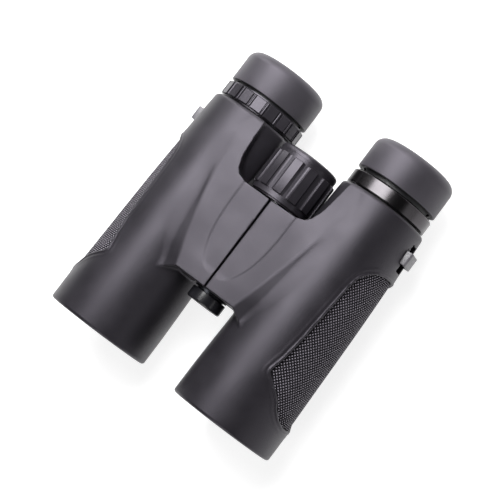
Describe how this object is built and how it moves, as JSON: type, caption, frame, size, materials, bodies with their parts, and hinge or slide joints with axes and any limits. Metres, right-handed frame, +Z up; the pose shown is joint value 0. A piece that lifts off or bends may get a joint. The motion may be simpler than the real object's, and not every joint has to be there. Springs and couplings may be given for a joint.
{
  "type": "binoculars",
  "caption": "Roof-prism binoculars with closed bridge, folding hinge, ribbed focus wheel, twist-up eyecups, textured grips and tripod socket.",
  "frame": {"origin": "on the resting plane, under the middle of the bounding box", "axes": "+Y along the barrels towards the eyepieces, +Z up, X across from the left barrel (-X) to the right barrel (+X)"},
  "size_m": [0.1258, 0.146, 0.0518],
  "materials": {
    "armour_rubber": "matt charcoal moulded rubber with a fine grain",
    "grip_rubber": "dark rubber with a fine diamond knurl",
    "eyecup_rubber": "soft matt rubber, very fine grain",
    "wheel_rubber": "satin charcoal moulded rubber",
    "seal_rubber": "black O-ring rubber",
    "coated_glass": "multi-coated optical glass with a faint green and purple reflection",
    "cast_alloy": "cast magnesium-aluminium alloy, bead blasted",
    "plain_steel": "turned steel",
    "brass": "turned brass",
    "black_metal": "satin black anodised metal",
    "black_plastic": "black glass-filled plastic"
  },
  "bodies": {
    "left_half": {"left_chassis": "cast_alloy", "left_objective_barrel": "cast_alloy", "left_armour": "armour_rubber", "left_grip_panel": "grip_rubber", "left_strap_lug": "black_metal", "left_objective_cell": "black_plastic", "left_objective_lens": "coated_glass", "left_objective_ring": "black_metal", "left_objective_seal": "seal_rubber", "left_prism_cage": "black_plastic", "left_prisms": "coated_glass", "left_prism_screws": "plain_steel", "left_eyepiece_tube": "black_plastic", "left_eye_lens": "coated_glass", "left_eye_retainer": "black_plastic", "hinge_axle": "plain_steel", "hinge_washer": "plain_steel", "tripod_bush": "plain_steel"},
    "right_half": {"right_chassis": "cast_alloy", "right_objective_barrel": "cast_alloy", "right_armour": "armour_rubber", "right_grip_panel": "grip_rubber", "right_strap_lug": "black_metal", "right_objective_cell": "black_plastic", "right_objective_lens": "coated_glass", "right_objective_ring": "black_metal", "right_objective_seal": "seal_rubber", "right_prism_cage": "black_plastic", "right_prisms": "coated_glass", "right_prism_screws": "plain_steel", "right_eyepiece_tube": "black_plastic", "right_eye_lens": "coated_glass", "right_eye_retainer": "black_plastic", "right_field_cell": "black_plastic", "right_field_lens": "coated_glass", "right_trim_ring": "black_metal"},
    "focus_wheel": {"focus_wheel_core": "black_plastic", "focus_wheel_tyre": "wheel_rubber", "focus_wheel_cap": "black_metal", "focus_screw": "plain_steel"},
    "left_focus_carriage": {"left_focus_cell": "black_plastic", "left_focus_lens": "coated_glass", "focus_nut": "brass"},
    "right_focus_carriage": {"right_focus_cell": "black_plastic", "right_focus_lens": "coated_glass"},
    "dioptre_ring": {"dioptre_ring": "wheel_rubber", "dioptre_key": "plain_steel"},
    "dioptre_cell": {"left_field_cell": "black_plastic", "left_field_lens": "coated_glass"},
    "left_eyecup_guide": {"left_eyecup_guide": "black_plastic"},
    "left_eyecup": {"left_eyecup_core": "black_plastic", "left_eyecup_rubber": "eyecup_rubber"},
    "right_eyecup_guide": {"right_eyecup_guide": "black_plastic"},
    "right_eyecup": {"right_eyecup_core": "black_plastic", "right_eyecup_rubber": "eyecup_rubber"},
    "tripod_cap": {"tripod_cap": "black_metal"}
  },
  "joints": [
    {"name": "interpupillary_hinge", "type": "hinge", "parent": "left_half", "child": "right_half", "pos_m": [0, 0, 0.0359], "axis": [0, 1, 0], "range_deg": [0, 55.8]},
    {"name": "left_focus_slide", "type": "slide", "parent": "left_half", "child": "left_focus_carriage", "axis": [0, 1, 0], "range_m": [-0.0025, 0.0025]},
    {"name": "focus_turn", "type": "hinge", "parent": "left_half", "child": "focus_wheel", "pos_m": [0, 0, 0.0359], "axis": [0, 1, 0], "range_deg": [-270, 270]},
    {"name": "right_focus_slide", "type": "slide", "parent": "right_half", "child": "right_focus_carriage", "axis": [0, 1, 0], "range_m": [-0.0025, 0.0025]},
    {"name": "dioptre_slide", "type": "slide", "parent": "left_half", "child": "dioptre_cell", "axis": [0, 1, 0], "range_m": [-0.001, 0.001]},
    {"name": "dioptre_turn", "type": "hinge", "parent": "left_half", "child": "dioptre_ring", "pos_m": [-0.037, 0, 0.0259], "axis": [0, 1, 0], "range_deg": [-60, 60]},
    {"name": "left_eyecup_lift", "type": "slide", "parent": "left_half", "child": "left_eyecup_guide", "axis": [0, 1, 0], "range_m": [0, 0.0091]},
    {"name": "left_eyecup_twist", "type": "hinge", "parent": "left_eyecup_guide", "child": "left_eyecup", "pos_m": [-0.037, 0, 0.0259], "axis": [0, 1, 0], "range_deg": [0, 120]},
    {"name": "right_eyecup_lift", "type": "slide", "parent": "right_half", "child": "right_eyecup_guide", "axis": [0, 1, 0], "range_m": [0, 0.0091]},
    {"name": "right_eyecup_twist", "type": "hinge", "parent": "right_eyecup_guide", "child": "right_eyecup", "pos_m": [0.037, 0, 0.0259], "axis": [0, 1, 0], "range_deg": [0, 120]},
    {"name": "tripod_cap_off", "type": "slide", "parent": "left_half", "child": "tripod_cap", "axis": [0, -1, 0], "range_m": [0, 0.04]}
  ],
  "couplings": [
    {"joint": "focus_turn", "follows": "left_focus_slide", "rad_per_m": 1880},
    {"joint": "right_focus_slide", "follows": "left_focus_slide", "ratio": 1},
    {"joint": "dioptre_turn", "follows": "dioptre_slide", "rad_per_m": 1045},
    {"joint": "left_eyecup_twist", "follows": "left_eyecup_lift", "rad_per_m": 230},
    {"joint": "right_eyecup_twist", "follows": "right_eyecup_lift", "rad_per_m": 230}
  ]
}
